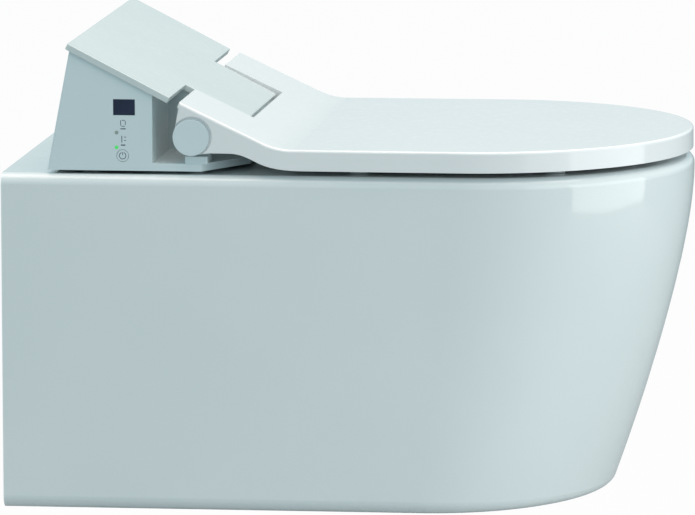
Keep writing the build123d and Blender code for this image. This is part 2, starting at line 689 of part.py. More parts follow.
def make_power_symbol():
    """The key's inlaid symbol."""
    shape = symbol_shape(0)
    return list(shape.solids())


def make_base_plate():
    """The floor of the housing, with the tunnel that slides over the fixing plate."""
    lip_top, roof = tunnel_levels()
    side = UNIT_INNER - PART_FIT
    front = RECESS_BACK_Y - UNIT_WALL - PART_FIT
    back = UNIT_BACK_FOOT_Y + UNIT_WALL + 2.2
    base = box(-side, side, -front, -back, BASE_Z, STRIP_TOP_Z)
    tunnel = PLATE_FLANGE_HALF + 4
    base += box(-tunnel, tunnel, -front, -back, STRIP_TOP_Z, works_z())
    end = PLATE_FRONT + SLIDE_GAP
    flange = PLATE_FLANGE_HALF + SLIDE_GAP
    body = PLATE_BODY_HALF + SLIDE_GAP
    base -= box(-flange, flange, -end, 0, lip_top, roof)
    base -= box(-body, body, -end, 0, BASE_Z - OVER, lip_top + OVER)
    base -= box(-flange, flange, -end + PLATE_TAB + 2 * SLIDE_GAP, 0, BASE_Z - OVER, lip_top + OVER)
    nose = NOSE_HALF - UNIT_WALL - PART_FIT
    apron = box(-nose, nose, -NOSE_FOOT_Y, -front + OVER, BASE_Z, STRIP_TOP_Z)
    apron = apron & prism_x(nose_profile(UNIT_WALL + PART_FIT), -nose, nose)
    apron -= wand_rod(WAND_HEAD_R + GUIDE_WALL + 1.2, -40, GUIDE_LENGTH + 10)
    base += apron
    for x, y in screw_places():
        base -= screw(x, y, INLAY_FIT)
    return [base]


def screw(x, y, grow):
    """One countersunk screw through the floor, or its hole when grown."""
    shank = rod_z(SCREW_R + grow, BASE_Z - grow, STRIP_TOP_Z + SCREW_BOSS_HEIGHT - 2, x, -y)
    sink = SCREW_HEAD_R - SCREW_R
    return shank + Pos(x, -y, BASE_Z + sink / 2) * Cone(SCREW_HEAD_R + grow, SCREW_R + grow, sink)


def make_base_screws():
    """Screws up through the floor into the housing's bosses."""
    return [screw(x, y, 0) for x, y in screw_places()]


def make_unit_feet():
    """Soft feet between the housing and the deck."""
    feet = []
    for y in (UNIT_BACK_FOOT_Y + 33, HINGE_Y):
        feet += both(rod_z(UNIT_FOOT_R, RIM_Z + 0.1, BASE_Z, UNIT_HALF - UNIT_FOOT_INSET, -y))
    return feet


def make_hinge_posts():
    """The two posts on the floor strip that carry the hinge shafts."""
    back = HINGE_Y - POST_HALF_DEPTH + POST_FORWARD
    front = HINGE_Y + POST_HALF_DEPTH + POST_FORWARD
    post = box(-POST_OUT_X, -POST_X, -front, -back, STRIP_TOP_Z, HINGE_Z)
    post += rod_x(POST_R, -POST_OUT_X, -POST_X, -HINGE_Y, HINGE_Z)
    foot_top = HINGE_Z - CAP_R - FOOT_CLEAR
    post += box(-UNIT_HALF + 0.6, -POST_OUT_X, -front, -back, STRIP_TOP_Z, foot_top)
    outer = post.edges().filter_by(Axis.Z).filter_by(lambda e: e.center().X < -POST_OUT_X - 3)
    post = fillet(outer, 1.5)
    post -= rod_x(SHAFT_R + SHAFT_FIT, -POST_OUT_X - OVER, -POST_X + OVER, -HINGE_Y, HINGE_Z)
    return both(post)


def make_hinge_dampers():
    """Soft-close cylinders between each post and the nose."""
    damper = rod_x(DAMPER_R, -POST_X, -NOSE_HALF + UNIT_WALL, -HINGE_Y, HINGE_Z)
    damper -= rod_x(SHAFT_R + SHAFT_FIT, -POST_X - OVER, -POST_X + SHAFT_IN_DAMPER + 0.5,
                    -HINGE_Y, HINGE_Z)
    return both(damper)


def make_shaft(side):
    """One hinge shaft, from the outer ear through the post into the damper."""
    return [rod_x(SHAFT_R, side * (CAP_SEAT_X - 0.3), side * (POST_X - SHAFT_IN_DAMPER),
                  -HINGE_Y, HINGE_Z)]


def lid_top(y, drop=0.0):
    """Height of the lid's top line before its bend is rounded."""
    return max(LID_TOP_Z, LID_BACK_TOP_Z - (y - LID_BACK_Y) * LID_TAN) - drop


def top_edges(drop, y_back, y_front, x):
    """The lid's top line from back to front, dropped by a thickness."""
    bend = LID_BACK_Y + (LID_BACK_TOP_Z - LID_TOP_Z) / LID_TAN
    z_back = LID_BACK_TOP_Z - (y_back - LID_BACK_Y) * LID_TAN - drop
    flat = LID_TOP_Z - drop
    return FilletPolyline((x, -y_back, z_back), (x, -bend, flat), (x, -y_front, flat),
                          radius=LID_BEND_R)


def lid_side(x):
    """Side outline of the lid, from its rounded boss to its tip."""
    tip = LID_TIP + 5
    top = top_edges(0, LID_BACK_Y, tip, x)
    lip_y = -LID_BACK_Y + LID_LIP
    lip_z = LID_BACK_TOP_Z - LID_LIP_DROP
    boss_y = -HINGE_Y + BOSS_R
    boss_low = HINGE_Z - BOSS_R
    neck = HINGE_Y + BOSS_R + 1
    arm = HINGE_Y + LID_ARM_LENGTH
    skirt = arm + LID_SWEEP
    bend = (x, -arm - 0.45 * LID_SWEEP, LID_SKIRT_Z + 0.36 * (LID_ARM_EDGE_Z - LID_SKIRT_Z))
    edges = [
        Line((x, -tip, LID_TOP_Z), (x, -tip, LID_SKIRT_Z)),
        Line((x, -tip, LID_SKIRT_Z), (x, -skirt, LID_SKIRT_Z)),
        Spline((x, -skirt, LID_SKIRT_Z), bend, (x, -arm, LID_ARM_EDGE_Z), tangents=[(0, 1, 0), (0, 1, 0)]),
        Line((x, -arm, LID_ARM_EDGE_Z), (x, -neck, LID_ARM_EDGE_Z)),
        Line((x, -neck, LID_ARM_EDGE_Z), (x, -HINGE_Y, boss_low)),
        ThreePointArc((x, -HINGE_Y, boss_low),
                      (x, -HINGE_Y + BOSS_R * math.sqrt(0.5), HINGE_Z - BOSS_R * math.sqrt(0.5)),
                      (x, boss_y, HINGE_Z)),
        Line((x, boss_y, HINGE_Z), (x, lip_y - 0.8, lip_z - 1.5)),
        Line((x, lip_y - 0.8, lip_z - 1.5), (x, lip_y, lip_z)),
        Line((x, lip_y, lip_z), (x, -LID_BACK_Y, LID_BACK_TOP_Z)),
    ]
    every = top.edges()
    for edge in edges:
        every = every + edge.edges()
    return make_face(every)


def under_lid(x, drop, y_back, low, y_front=None):
    """Side outline of the space below the lid's top line, down to a level."""
    y_front = LID_TIP + 5 if y_front is None else y_front
    top = top_edges(drop, y_back, y_front, x)
    z_back = LID_BACK_TOP_Z - (y_back - LID_BACK_Y) * LID_TAN - drop
    edges = top.edges()
    edges = edges + Line((x, -y_front, LID_TOP_Z - drop), (x, -y_front, low)).edges()
    edges = edges + Line((x, -y_front, low), (x, -y_back, low)).edges()
    edges = edges + Line((x, -y_back, low), (x, -y_back, z_back)).edges()
    return make_face(edges)


def along_x(face, half):
    """Push a side outline drawn at -half across to +half."""
    return extrude(face, amount=2 * half, dir=(1, 0, 0))


def lid_plan(inset):
    """The lid's plan, drawn in by a wall, as a prism from below the lid to above it."""
    face = d_outline(LID_HALF - inset, LID_BACK_Y - 12, LID_CENTRE, LID_TIP - inset, UNDER_LID_Z,
                     LID_BACK_HALF - inset)
    return extrude(face, amount=OVER_LID_Z - UNDER_LID_Z, dir=(0, 0, 1))


def lid_x(y):
    """Half width of the lid at a distance from the wall."""
    past = max(0.0, y - LID_CENTRE) / (LID_TIP - LID_CENTRE)
    return LID_HALF * math.sqrt(1 - past * past)


def notch_half():
    """Half width of the lid's cut-out round the tongue."""
    return TONGUE_HALF + LID_NOTCH_GAP


def notch_front():
    """Distance of the cut-out's front edge from the wall."""
    return TONGUE_FRONT_Y + LID_NOTCH_GAP


def make_lid_cover():
    """The thin lid: a sloped back with two ears, a cut-out for the tongue and a deep skirt."""
    span = LID_HALF + 5
    lid = along_x(lid_side(-span), span) & lid_plan(0)
    crest = lid.edges().filter_by(lambda e: e.center().Z > LID_TOP_Z - 0.5 and
                                  (abs(e.center().X) > LID_BACK_HALF - 3 or e.center().Y < -LID_CENTRE))
    lid = fillet(crest, LID_EDGE_ROUND)
    half = notch_half()
    lid -= box(-half, half, -notch_front(), 0, UNDER_LID_Z, OVER_LID_Z)
    wall = LID_SKIRT
    hollow = along_x(under_lid(-span, LID_SKIN, LID_BACK_Y + wall, UNDER_LID_Z), span)
    hollow = hollow & lid_plan(wall)
    keep = box(-half - wall, half + wall, -notch_front() - wall, 0, UNDER_LID_Z, OVER_LID_Z)
    lid -= hollow - keep
    y_in = LID_BACK_Y - 12
    y_out = notch_front() + wall + 8
    low = prism_x([(-y_in, lid_top(y_in, LID_FLANGE)), (-y_out, lid_top(y_out, LID_FLANGE)),
                   (-y_out, UNDER_LID_Z), (-y_in, UNDER_LID_Z)], -span, span)
    lid -= low & lid_plan(wall)
    y, z = -HINGE_Y, HINGE_Z
    for side in (-1, 1):
        ear = rod_x(BOSS_R - 0.2, side * LID_EAR_X, side * (LID_BACK_HALF - 1.0), y, z)
        web = box(side * LID_EAR_X, side * (LID_BACK_HALF - 1.0), y - 10, y + 10, z, lid_top(HINGE_Y) - 6)
        lid += ear + web
        lid -= rod_x(CRESCENT_R, side * CAP_SEAT_X, side * (LID_BACK_HALF + 5),
                     y - CRESCENT_SHIFT, z + CRESCENT_SHIFT)
        fit = 0.0 if side < 0 else SHAFT_FIT
        lid -= rod_x(SHAFT_R + fit, side * (LID_EAR_X - OVER), side * (CAP_SEAT_X + OVER), y, z)
    return [lid]


def make_hinge_caps():
    """Round caps over the ends of the hinge."""
    cap = rod_x(CAP_R, -CAP_SEAT_X - CAP_THICK, -CAP_SEAT_X, -HINGE_Y, HINGE_Z)
    rim = cap.edges().sort_by(Axis.X)[:1]
    return both(fillet(rim, 0.6))


def make_lid_pads():
    """Soft pads under the lid that rest on the seat."""
    top = LID_TOP_Z - LID_SKIN
    low = top - SEAT_TOP_GAP + PAD_GAP
    pads = []
    for y in (PADS_BACK_Y, PADS_FRONT_Y):
        pads += both(rod_z(PAD_R, low, top, lid_x(y) - LID_PAD_INSET, -y))
    return pads


def on_hole_rim(edge, level):
    """Whether an edge lies on the rim of the seat's hole, at a height."""
    extent = edge.bounding_box()
    return (abs(extent.min.Z - level) < 0.2 and abs(extent.max.Z - level) < 0.2
            and extent.size.Y > SEAT_HOLE_LENGTH / 4 and extent.size.X <= 2 * SEAT_HOLE_HALF + OVER
            and extent.min.Y > -SEAT_HOLE_FRONT_Y - OVER and extent.max.Y < -SEAT_HOLE_BACK_Y + OVER)


def make_seat_ring():
    """The seat: a flat ring with two sloped arms and an ear on each."""
    span = LID_HALF
    drop = LID_SKIN + SEAT_TOP_GAP
    low = LID_TOP_Z - drop - SEAT_THICK
    block = along_x(under_lid(-span, drop, SEAT_ARM_BACK_Y, low), span)
    block = block & lid_plan(SEAT_INSET)
    back = SEAT_ARM_BACK_Y
    arm_low = LID_BACK_TOP_Z - (back - LID_BACK_Y) * LID_TAN - drop - SEAT_ARM_THICK
    run = (arm_low - low) / LID_TAN
    under = prism_x([(-back + 5, UNDER_LID_Z), (-back + 5, arm_low + 5 * LID_TAN), (-back, arm_low),
                     (-back - run, low), (-back - run, UNDER_LID_Z)], -span - 1, span + 1)
    block -= under
    top = LID_TOP_Z - drop
    block -= box(-SEAT_ARM_IN, SEAT_ARM_IN, -SEAT_BRIDGE_Y, 0, UNDER_LID_Z, OVER_LID_Z)
    block -= box(-SEAT_ARM_IN, SEAT_ARM_IN, -SEAT_HOLE_BACK_Y + 2, -SEAT_BRIDGE_Y + 1, top, OVER_LID_Z)
    block += box(-SEAT_ARM_IN - 1, SEAT_ARM_IN + 1, -SEAT_HOLE_BACK_Y, -SEAT_BRIDGE_Y, low, top)
    hole = oval(SEAT_HOLE_HALF, SEAT_HOLE_LENGTH, SEAT_HOLE_CENTRE, UNDER_LID_Z)
    block -= extrude(hole, amount=OVER_LID_Z - UNDER_LID_Z, dir=(0, 0, 1))
    block = fillet(block.edges().filter_by(lambda e: on_hole_rim(e, top)), SEAT_HOLE_ROUND)
    y, z = -HINGE_Y, HINGE_Z
    for side in (-1, 1):
        ear = rod_x(SEAT_BOSS_R, -SEAT_EAR_OUT_X, -SEAT_EAR_X, y, z)
        ear += prism_x([(y, z - SEAT_BOSS_R), (y, z + SEAT_BOSS_R), (-back - 3, arm_low + 7),
                        (-back - 3, arm_low - 1)], -SEAT_EAR_OUT_X, -SEAT_EAR_X)
        fit = 0.0 if side > 0 else SHAFT_FIT
        if side > 0:
            ear = mirror(ear, Plane.YZ)
        block += ear
        block -= rod_x(SHAFT_R + fit, side * (SEAT_EAR_X - OVER), side * (SEAT_EAR_OUT_X + OVER), y, z)
    return [block]


def make_seat_pads():
    """Soft pads under the seat that rest on the rim."""
    top = LID_TOP_Z - LID_SKIN - SEAT_TOP_GAP - SEAT_THICK
    pads = []
    for y in (PADS_BACK_Y, PADS_FRONT_Y):
        pads += both(rod_z(PAD_R, RIM_Z + PAD_GAP, top, lid_x(y) - SEAT_PAD_INSET, -y))
    return pads


def make_wand_tube():
    """The wand's sliding tube."""
    tube = wand_rod(WAND_R, WAND_HEAD, WAND_LENGTH)
    return [tube - wand_rod(WAND_R - 1.5, WAND_HEAD + 4, WAND_LENGTH + 1)]


def make_wand_head():
    """The spray head, with its jets on top."""
    head = wand_rod(WAND_HEAD_R, 0, WAND_HEAD)
    head = fillet(head.edges().sort_by(Axis.Y)[:1], 3.0)
    for s in (8.0, 13.0):
        y, z = wand_point(s, WAND_HEAD_R)
        jet = Plane(origin=(0, y, z), z_dir=(0, WAND_SIN, -WAND_COS))
        head -= extrude(jet * Circle(0.9), amount=3)
    return [head]


def make_wand_guide():
    """The sleeve that carries the wand, fixed in the floor of the housing."""
    bore = WAND_HEAD_R + GUIDE_CLEAR
    guide = wand_rod(bore + GUIDE_WALL, 2, GUIDE_LENGTH)
    guide += wand_rod(bore + GUIDE_WALL, GUIDE_LENGTH, WAND_LENGTH + 6)
    guide -= wand_rod(bore, -OVER, WAND_LENGTH + 3)
    wing = box(-30, 30, -NOSE_FOOT_Y + UNIT_WALL + 5, -RECESS_BACK_Y - 6,
               STRIP_TOP_Z, STRIP_TOP_Z + 2.5)
    wing -= wand_rod(bore + GUIDE_WALL / 2, -40, WAND_LENGTH + 40)
    return [guide + wing]


def make_water_heater():
    """The water heater, standing on the floor."""
    z = works_z()
    top = z + HEATER_HEIGHT
    heater = box(HEATER_X - HEATER_LENGTH / 2, HEATER_X + HEATER_LENGTH / 2,
                 -WORKS_Y - HEATER_DEPTH / 2, -WORKS_Y + HEATER_DEPTH / 2, z, top)
    heater = fillet(heater.edges().filter_by(Axis.Z), 6)
    for x in (HEATER_X - 15, HEATER_X + 15):
        heater += rod_z(INLET_FITTING_R, top - OVER, top + 8, x, -WORKS_Y)
    return [heater]


def make_pump():
    """The pump and its motor, lying on the floor."""
    z = works_z()
    x0 = PUMP_X - PUMP_LENGTH / 2
    x1 = PUMP_X + PUMP_LENGTH / 2
    pump = rod_x(PUMP_R, x0, x1, -WORKS_Y, z + PUMP_R)
    pump += box(x0 + 2, x1 - 2, -WORKS_Y - PUMP_R + 3, -WORKS_Y + PUMP_R - 3, z, z + PUMP_R / 2)
    return [pump + rod_x(PUMP_R * 0.6, x1, x1 + 16, -WORKS_Y, z + PUMP_R)]


def make_valve_block():
    """The inlet valve, behind the water inlet."""
    back = SERVICE_FACE_Y + UNIT_WALL + 7
    valve = box(WATER_X - VALVE_WIDTH / 2, WATER_X + VALVE_WIDTH / 2, -back - VALVE_DEPTH, -back,
                STRIP_TOP_Z, STRIP_TOP_Z + VALVE_HEIGHT)
    top = STRIP_TOP_Z + VALVE_HEIGHT
    return [valve + rod_z(8, top - OVER, top + 18, WATER_X, -back - VALVE_DEPTH / 2)]


def make_water_inlet():
    """The threaded fitting for the supply hose, at the back of the housing."""
    y_in = -SERVICE_FACE_Y - UNIT_WALL - 7
    y_out = -SERVICE_FACE_Y + SERVICE_REACH
    fitting = rod_y(INLET_FITTING_R, y_in, y_out, WATER_X, SERVICE_Z)
    fitting += rod_y(INLET_FITTING_R + SERVICE_FLANGE, -SERVICE_FACE_Y,
                     -SERVICE_FACE_Y + SERVICE_FLANGE_THICK, WATER_X, SERVICE_Z)
    return [fitting - rod_y(INLET_FITTING_BORE_R, y_in + 4, y_out + OVER, WATER_X, SERVICE_Z)]


def make_cable_gland():
    """The strain relief for the supply cable, beside the water inlet."""
    y_in = -SERVICE_FACE_Y - UNIT_WALL - 10
    y_out = -SERVICE_FACE_Y + SERVICE_REACH
    gland = rod_y(GLAND_R, y_in, y_out, CABLE_X, SERVICE_Z)
    gland += rod_y(GLAND_R + SERVICE_FLANGE, -SERVICE_FACE_Y,
                   -SERVICE_FACE_Y + SERVICE_FLANGE_THICK, CABLE_X, SERVICE_Z)
    return [gland - rod_y(GLAND_BORE_R, y_in + 4, y_out + OVER, CABLE_X, SERVICE_Z)]


def main():
    os.makedirs("parts", exist_ok=True)
    pieces = {
        "ceramic_body": [make_ceramic()],
        "stud_sleeves": make_stud_sleeves(),
        "inlet_seal": make_inlet_seal(),
        "mounting_plate": make_mounting_plate(),
        "plate_bolts": make_plate_bolts(),
        "plate_bushes": make_plate_bushes(),
        "plate_nuts": make_plate_nuts(),
        "base_plate": make_base_plate(),
        "base_screws": make_base_screws(),
        "unit_feet": make_unit_feet(),
        "housing_shell": make_housing_shell(),
        "roof_plate": make_roof_plate(),
        "receiver_window": make_receiver_window(),
        "led_upper": make_led(LED_UPPER_Z),
        "led_lower": make_led(LED_LOWER_Z),
        "control_board": make_control_board(),
        "power_key": make_power_key(),
        "power_symbol": make_power_symbol(),
        "hinge_posts": make_hinge_posts(),
        "hinge_dampers": make_hinge_dampers(),
        "lid_shaft": make_shaft(-1),
        "seat_shaft": make_shaft(1),
        "lid_cover": make_lid_cover(),
        "hinge_caps": make_hinge_caps(),
        "lid_pads": make_lid_pads(),
        "seat_ring": make_seat_ring(),
        "seat_pads": make_seat_pads(),
        "wand_tube": make_wand_tube(),
        "wand_head": make_wand_head(),
        "wand_guide": make_wand_guide(),
        "water_heater": make_water_heater(),
        "pump": make_pump(),
        "valve_block": make_valve_block(),
        "water_inlet": make_water_inlet(),
        "cable_gland": make_cable_gland(),
    }
    for name, solids in pieces.items():
        shape = solids[0] if len(solids) == 1 else Compound(children=list(solids))
        export_step(shape, f"parts/{name}.step")


if __name__ == "__main__":
    main()
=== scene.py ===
import json
import math

import bmesh
import bpy
from mathutils import Matrix, Vector


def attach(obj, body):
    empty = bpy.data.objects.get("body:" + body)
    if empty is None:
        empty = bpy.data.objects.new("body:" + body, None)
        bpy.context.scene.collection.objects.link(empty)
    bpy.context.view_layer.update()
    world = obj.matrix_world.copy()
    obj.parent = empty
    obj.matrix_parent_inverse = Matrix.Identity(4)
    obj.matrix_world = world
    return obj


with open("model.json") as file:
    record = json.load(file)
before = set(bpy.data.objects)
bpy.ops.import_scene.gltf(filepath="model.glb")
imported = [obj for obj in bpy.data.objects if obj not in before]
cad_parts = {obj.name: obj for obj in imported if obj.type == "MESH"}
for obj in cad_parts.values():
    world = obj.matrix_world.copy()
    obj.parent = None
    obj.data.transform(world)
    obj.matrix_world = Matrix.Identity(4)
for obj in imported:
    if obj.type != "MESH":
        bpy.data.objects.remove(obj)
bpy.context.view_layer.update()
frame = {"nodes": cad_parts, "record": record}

# Camera, as fitted to the photograph: metres and radians, lens and sensor in millimetres
CAMERA_PLACE = Vector((-7.4306, -1.2340, 1.0262))
CAMERA_YAW = 0.128905
CAMERA_PITCH = 0.137871
CAMERA_ROLL = 0.003740
CAMERA_LENS = 454.65
CAMERA_SENSOR = 36.0
CAMERA_REACH = 200.0

# Floor, 400 mm below the rim
FLOOR_Z = -0.32
FLOOR_REACH = 60.0
FLOOR_TONE = (0.40, 0.43, 0.44)
FLOOR_ROUGHNESS = 0.9
FLOOR_WHITE_SHARE = 0.97

# Sky, as the object meets it
SKY_LEVEL = 0.645
SKY_COLOUR = (0.72, 0.94, 1.0)
WHITE = (1, 1, 1, 1)

# Lamps: name, place, target, width and height, watts, colour
LAMPS = (
    ("overhead", (-0.2, -0.5, 2.4), (0, -0.35, 0), (2.6, 2.6), 52, (1.0, 0.81, 0.72)),
    ("front", (-0.3, -1.9, 0.1), (0, -0.4, 0), (1.4, 0.8), 6.5, (1.0, 0.99, 0.98)),
    ("side", (-1.0, -1.3, 0.2), (0, -0.3, 0), (0.7, 0.7), 0.9, (1.0, 0.99, 0.98)),
)

# Outer face of the side panel, and how far the printed marks stand off it, in metres
PANEL_X = -0.1795
MARK_THICK = 0.00008

# Strokes of the marks, in millimetres: y, z, length, height
MM_PER_METRE = 1000
MARK_STROKES = (
    (-101.9, 123.4, 0.5, 4.4), (-104.2, 125.6, 2.4, 0.5), (-105.9, 123.4, 0.5, 3.2),
    (-103.9, 120.6, 3.0, 0.5), (-103.9, 118.4, 4.4, 0.8), (-102.8, 109.6, 0.6, 5.6),
    (-105.6, 111.4, 1.8, 0.5), (-105.6, 108.6, 1.8, 0.5), (-103.9, 104.6, 3.8, 0.9),
)

# Part of a mask over which two tones drift into each other
TONE_SPAN = (0.3, 0.7)

# Depths of surface texture, in metres
GLAZE_WAVES = 0.0006
POLISHED_GRAIN = 0.00001
METAL_STREAKS = 0.00002
SATIN_GRAIN = 0.00003
RUBBER_GRAIN = 0.00005
BOARD_PADS = 0.00005


def set_inputs(tree, node, **inputs):
    """Link or set a node's inputs; blanks in their names are written as underscores."""
    for name, value in inputs.items():
        socket = node.inputs[name.replace("_", " ")]
        if isinstance(value, bpy.types.NodeSocket):
            tree.links.new(value, socket)
        else:
            socket.default_value = value


def add(tree, kind, place, **inputs):
    """A new node with its inputs linked or set."""
    node = tree.nodes.new(kind)
    node.location = place
    set_inputs(tree, node, **inputs)
    return node


def calculate(tree, operation, place, first, second):
    """The result of a calculation with a socket and a second socket or number."""
    node = add(tree, "ShaderNodeMath", place)
    node.operation = operation
    tree.links.new(first, node.inputs[0])
    if isinstance(second, bpy.types.NodeSocket):
        tree.links.new(second, node.inputs[1])
    else:
        node.inputs[1].default_value = second
    return node.outputs[0]


def cover(tree, place, share, below, colour):
    """A colour socket, covered by a fixed colour as far as a share says."""
    node = add(tree, "ShaderNodeMix", place)
    node.data_type = "RGBA"
    set_inputs(tree, node, Factor=share, A=below, B=(*colour, 1))
    return node.outputs["Result"]


def blend_shaders(tree, share, first, second, output):
    """Two shader nodes, blended by a share and linked to the output node."""
    mix = add(tree, "ShaderNodeMixShader", (250, 0), Fac=share)
    tree.links.new(first.outputs[0], mix.inputs[1])
    tree.links.new(second.outputs[0], mix.inputs[2])
    tree.links.new(mix.outputs[0], tree.nodes[output].inputs["Surface"])


def camera_ray(tree):
    """One for rays straight from the camera, else zero."""
    return add(tree, "ShaderNodeLightPath", (-400, 400)).outputs["Is Camera Ray"]


def new_material(name):
    """A node material, its tree and its Principled shader."""
    material = bpy.data.materials.new(name)
    material.use_nodes = True
    return material, material.node_tree, material.node_tree.nodes["Principled BSDF"]


def group_tree(name, inputs, outputs):
    """A node group that takes a vector and named values, and gives named numbers."""
    tree = bpy.data.node_groups.new(name, "ShaderNodeTree")
    tree.interface.new_socket("Vector", in_out="INPUT", socket_type="NodeSocketVector")
    for label, kind, value in inputs:
        tree.interface.new_socket(label, in_out="INPUT", socket_type=kind).default_value = value
    for label in outputs:
        tree.interface.new_socket(label, in_out="OUTPUT", socket_type="NodeSocketFloat")
    start = add(tree, "NodeGroupInput", (-1000, 0))
    end = add(tree, "NodeGroupOutput", (600, 0))
    return tree, start.outputs, end


def glaze_group():
    """Slow waves and fine orange peel of a fired glaze, with a few pin specks."""
    tree, given, end = group_tree(
        "glaze_flow",
        [("Wave Scale", "NodeSocketFloat", 9.0), ("Peel Scale", "NodeSocketFloat", 420.0),
         ("Peel Share", "NodeSocketFloat", 0.06)],
        ["Height", "Tone", "Speck"])
    wave = add(tree, "ShaderNodeTexNoise", (-700, 200), Vector=given["Vector"],
               Scale=given["Wave Scale"], Detail=2.0, Roughness=0.4).outputs["Fac"]
    peel = add(tree, "ShaderNodeTexNoise", (-700, -100), Vector=given["Vector"],
               Scale=given["Peel Scale"], Detail=1.0, Roughness=0.5).outputs["Fac"]
    share = calculate(tree, "MULTIPLY", (-400, -100), peel, given["Peel Share"])
    cells = add(tree, "ShaderNodeTexVoronoi", (-700, -400), Vector=given["Vector"], Scale=60.0)
    pin = add(tree, "ShaderNodeMapRange", (-400, -400), Value=cells.outputs["Distance"],
              From_Min=0.012, From_Max=0.03, To_Min=1.0, To_Max=0.0)
    set_inputs(tree, end, Height=calculate(tree, "ADD", (-200, 100), wave, share), Tone=wave,
               Speck=pin.outputs["Result"])
    return tree


def moulding_group():
    """Fine texture and faint flow shading of a moulded plastic surface."""
    tree, given, end = group_tree(
        "moulded_skin",
        [("Grain Scale", "NodeSocketFloat", 900.0), ("Flow Scale", "NodeSocketFloat", 14.0)],
        ["Height", "Tone", "Rub"])
    grain = add(tree, "ShaderNodeTexNoise", (-700, 200), Vector=given["Vector"],
                Scale=given["Grain Scale"], Detail=3.0, Roughness=0.55)
    flow = add(tree, "ShaderNodeTexNoise", (-700, -100), Vector=given["Vector"],
               Scale=given["Flow Scale"], Detail=2.0, Roughness=0.45)
    rub = add(tree, "ShaderNodeTexNoise", (-700, -400), Vector=given["Vector"],
              Scale=130.0, Detail=4.0, Roughness=0.7)
    level = add(tree, "ShaderNodeMapRange", (-400, -400), Value=rub.outputs["Fac"],
                From_Min=0.5, From_Max=0.8)
    set_inputs(tree, end, Height=grain.outputs["Fac"], Tone=flow.outputs["Fac"],
               Rub=level.outputs["Result"])
    return tree


def brushed_group():
    """Long fine streaks of a turned or brushed metal surface."""
    tree, given, end = group_tree(
        "brushed_streaks", [("Stretch", "NodeSocketVector", (20.0, 900.0, 900.0))],
        ["Height", "Tone"])
    mapping = add(tree, "ShaderNodeMapping", (-750, 0), Vector=given["Vector"],
                  Scale=given["Stretch"])
    streak = add(tree, "ShaderNodeTexNoise", (-500, 0), Vector=mapping.outputs["Vector"],
                 Scale=1.0, Detail=4.0, Roughness=0.6).outputs["Fac"]
    set_inputs(tree, end, Height=streak, Tone=streak)
    return tree


GLAZE = glaze_group()
MOULDED = moulding_group()
BRUSHED = brushed_group()


def object_coordinates(tree):
    """Object coordinates, which follow the piece when it moves."""
    return add(tree, "ShaderNodeTexCoord", (-1400, 0)).outputs["Object"]


def use_group(tree, group, **inputs):
    """The outputs of a group node that is fed with object coordinates."""
    node = add(tree, "ShaderNodeGroup", (-1100, 0))
    node.node_tree = group
    set_inputs(tree, node, Vector=object_coordinates(tree), **inputs)
    return node.outputs


def two_tones(tree, mask, dark, light):
    """A colour that drifts between two tones with a mask."""
    ramp = add(tree, "ShaderNodeValToRGB", (-600, 300), Fac=mask)
    for stop, place, tone in zip(ramp.color_ramp.elements, TONE_SPAN, (dark, light)):
        stop.position = place
        stop.color = (*tone, 1)
    return ramp.outputs["Color"]


def between(tree, mask, low, high):
    """A number that follows a mask between two values."""
    span = add(tree, "ShaderNodeMapRange", (-600, 0), Value=mask, To_Min=low, To_Max=high)
    return span.outputs["Result"]


def bump(tree, height, depth):
    """A bumped normal from a height mask, its depth in metres."""
    node = add(tree, "ShaderNodeBump", (-300, -300), Height=height, Strength=1.0, Distance=depth)
    return node.outputs["Normal"]


def glazed_ceramic():
    """White glaze with a painted cool shade tint: deep gloss, slow waves, hardly visible specks.
    """
    material, tree, shader = new_material("white_glaze_with_painted_cool_shade")
    flow = use_group(tree, GLAZE)
    # The glaze is white; the cool blue-grey tint of both tones is painted cool shade.
    body = two_tones(tree, flow["Tone"], (0.835, 0.885, 0.89), (0.86, 0.905, 0.91))
    specks = between(tree, flow["Speck"], 0.0, 0.25)
    set_inputs(tree, shader, Base_Color=cover(tree, (-200, 300), specks, body, (0.62, 0.66, 0.66)),
               Roughness=between(tree, flow["Tone"], 0.07, 0.13),
               Normal=bump(tree, flow["Height"], GLAZE_WAVES),
               IOR=1.52, Coat_Weight=0.5, Coat_Roughness=0.04)
    return material


def gloss_plastic(name, dark, light, rough=(0.22, 0.3), grain=POLISHED_GRAIN, coat=0.0):
    """Moulded plastic with a polished or satin face."""
    material, tree, shader = new_material(name)
    skin = use_group(tree, MOULDED)
    set_inputs(tree, shader, Base_Color=two_tones(tree, skin["Tone"], dark, light),
               Roughness=between(tree, skin["Rub"], *rough),
               Normal=bump(tree, skin["Height"], grain),
               Coat_Weight=coat, Coat_Roughness=0.08)
    return material


def brushed_metal(name, dark, light, stretch):
    """Turned or drawn metal with fine streaks."""
    material, tree, shader = new_material(name)
    streaks = use_group(tree, BRUSHED, Stretch=stretch)
    set_inputs(tree, shader, Base_Color=two_tones(tree, streaks["Tone"], dark, light),
               Roughness=between(tree, streaks["Tone"], 0.22, 0.42),
               Normal=bump(tree, streaks["Height"], METAL_STREAKS), Metallic=1.0)
    return material


